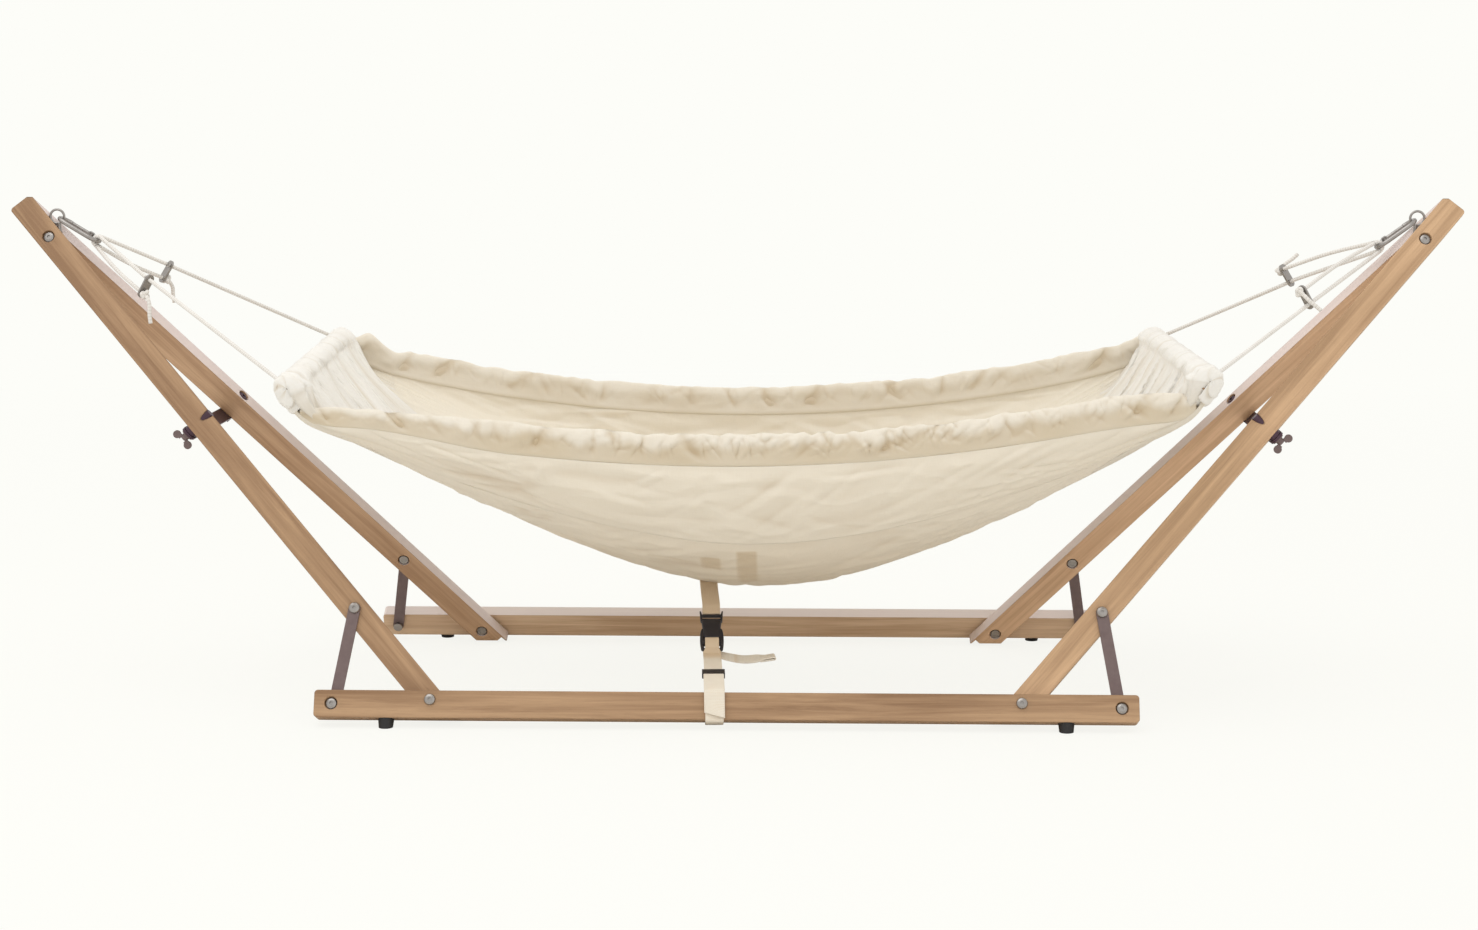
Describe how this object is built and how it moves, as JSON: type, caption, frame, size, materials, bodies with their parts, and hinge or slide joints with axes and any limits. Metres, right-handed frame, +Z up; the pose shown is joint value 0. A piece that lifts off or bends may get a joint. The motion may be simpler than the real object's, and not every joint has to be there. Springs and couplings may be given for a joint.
{
  "type": "swinging cradle on stand",
  "caption": "Cloth cradle on wooden spreader bars, hung from steel eyes between two hinged, leaning side frames of wooden rails and uprights, with a webbing tether.",
  "frame": {"origin": "on the floor, under the middle of the stand", "axes": "+X to the right along the rails, +Y to the rear frame, +Z up; the front rail is at -Y"},
  "size_m": [1.6584, 0.51, 0.5629],
  "materials": {
    "front_wood": "oiled light brown hardwood",
    "rear_wood": "oiled light brown hardwood, in shade",
    "strut_steel": "dull purple grey",
    "stay_steel": "dark plum",
    "steel": "bright zinc",
    "foot_rubber": "matt black",
    "rope": "braided off-white cord",
    "cloth": "cream woven cloth",
    "webbing": "cream woven webbing",
    "buckle_plastic": "black"
  },
  "bodies": {
    "front_frame": {"front_rail": "front_wood", "front_left_upright": "front_wood", "front_right_upright": "front_wood", "front_struts": "strut_steel", "front_pivot_bolts": "steel", "front_spacers": "steel", "front_strut_bolts": "steel", "front_feet": "foot_rubber", "front_top_bolts": "steel", "left_eye_clevis": "steel", "right_eye_clevis": "steel", "hinge_pins": "steel", "stay_sockets": "stay_steel", "rail_strap": "webbing", "ladder_lock": "buckle_plastic"},
    "rear_frame": {"rear_rail": "rear_wood", "rear_left_upright": "rear_wood", "rear_right_upright": "rear_wood", "rear_struts": "strut_steel", "rear_pivot_bolts": "steel", "rear_spacers": "steel", "rear_strut_bolts": "steel", "rear_feet": "foot_rubber", "rear_top_bolts": "steel", "hinge_tongues": "steel", "stay_brackets": "stay_steel", "stay_bracket_bolts": "steel", "stay_pins": "steel"},
    "left_stay": {"left_stay": "stay_steel"},
    "right_stay": {"right_stay": "stay_steel"},
    "left_wing_screw": {"left_wing_screw": "steel"},
    "right_wing_screw": {"right_wing_screw": "steel"},
    "cradle": {"left_carabiner": "steel", "right_carabiner": "steel", "left_spreader_bar": "front_wood", "right_spreader_bar": "front_wood", "ropes": "rope", "left_sleeve": "cloth", "right_sleeve": "cloth", "front_hem": "cloth", "rear_hem": "cloth", "front_panel": "cloth", "rear_panel": "cloth", "belly_panel": "cloth", "upper_tether": "webbing"},
    "left_gate": {"left_gate": "steel"},
    "right_gate": {"right_gate": "steel"},
    "front_left_adjuster": {"front_left_adjuster": "steel", "front_left_return": "rope"},
    "rear_left_adjuster": {"rear_left_adjuster": "steel", "rear_left_return": "rope"},
    "front_right_adjuster": {"front_right_adjuster": "steel", "front_right_return": "rope"},
    "rear_right_adjuster": {"rear_right_adjuster": "steel", "rear_right_return": "rope"},
    "buckle": {"buckle_body": "buckle_plastic"},
    "buckle_release": {"buckle_prongs": "buckle_plastic", "strap_tail": "webbing"}
  },
  "joints": [
    {"name": "fold", "type": "hinge", "parent": "front_frame", "child": "rear_frame", "pos_m": [0, 0, 0.51097], "axis": [-1, 0, 0], "range_deg": [0, 44]},
    {"name": "left_stay_drop", "type": "hinge", "parent": "rear_frame", "child": "left_stay", "pos_m": [-0.61132, 0.0969, 0.29951], "axis": [0.6827, 0, -0.7307], "range_deg": [0, 88]},
    {"name": "right_stay_drop", "type": "hinge", "parent": "rear_frame", "child": "right_stay", "pos_m": [0.61132, 0.0969, 0.29951], "axis": [0.6827, 0, 0.7307], "range_deg": [0, 88]},
    {"name": "left_wing_turn", "type": "hinge", "parent": "left_stay", "child": "left_wing_screw", "pos_m": [-0.60803, -0.0969, 0.30258], "axis": [0.7307, 0, 0.6827], "continuous": true},
    {"name": "right_wing_turn", "type": "hinge", "parent": "right_stay", "child": "right_wing_screw", "pos_m": [0.60803, -0.0969, 0.30258], "axis": [-0.7307, 0, 0.6827], "continuous": true},
    {"name": "swing", "type": "hinge", "parent": "front_frame", "child": "cradle", "pos_m": [0, 0, 0.537], "axis": [1, 0, 0], "range_deg": [-12, 12], "deforming": ["upper_tether", "rail_strap"]},
    {"name": "left_gate_open", "type": "hinge", "parent": "cradle", "child": "left_gate", "pos_m": [-0.74203, 0.0115, 0.51884], "axis": [0.515, 0, 0.8572], "range_deg": [0, 25], "stiffness_Nm_per_rad": 0.02},
    {"name": "right_gate_open", "type": "hinge", "parent": "cradle", "child": "right_gate", "pos_m": [0.74405, 0.0115, 0.51578], "axis": [0.5878, 0, -0.809], "range_deg": [0, 25], "stiffness_Nm_per_rad": 0.02},
    {"name": "front_left_adjust", "type": "slide", "parent": "cradle", "child": "front_left_adjuster", "axis": [0.6811, -0.6334, -0.3673], "range_m": [0, 0.04], "deforming": ["front_left_return"]},
    {"name": "rear_left_adjust", "type": "slide", "parent": "cradle", "child": "rear_left_adjuster", "axis": [0.645, 0.6555, -0.3929], "range_m": [0, 0.04], "deforming": ["rear_left_return"]},
    {"name": "front_right_adjust", "type": "slide", "parent": "cradle", "child": "front_right_adjuster", "axis": [-0.6313, -0.6956, -0.343], "range_m": [0, 0.04], "deforming": ["front_right_return"]},
    {"name": "rear_right_adjust", "type": "slide", "parent": "cradle", "child": "rear_right_adjuster", "axis": [-0.6305, 0.6814, -0.3717], "range_m": [0, 0.04], "deforming": ["rear_right_return"]},
    {"name": "buckle_follow", "type": "hinge", "parent": "front_frame", "child": "buckle", "pos_m": [0, 0, 0.537], "axis": [1, 0, 0], "range_deg": [-6, 6]},
    {"name": "buckle_release", "type": "slide", "parent": "buckle", "child": "buckle_release", "axis": [0.0474, -0.7532, -0.6561], "range_m": [0, 0.02]}
  ],
  "couplings": [
    {"joint": "left_stay_drop", "follows": "fold", "ratio": 2},
    {"joint": "right_stay_drop", "follows": "fold", "ratio": 2},
    {"joint": "buckle_follow", "follows": "swing", "ratio": 0.5}
  ]
}
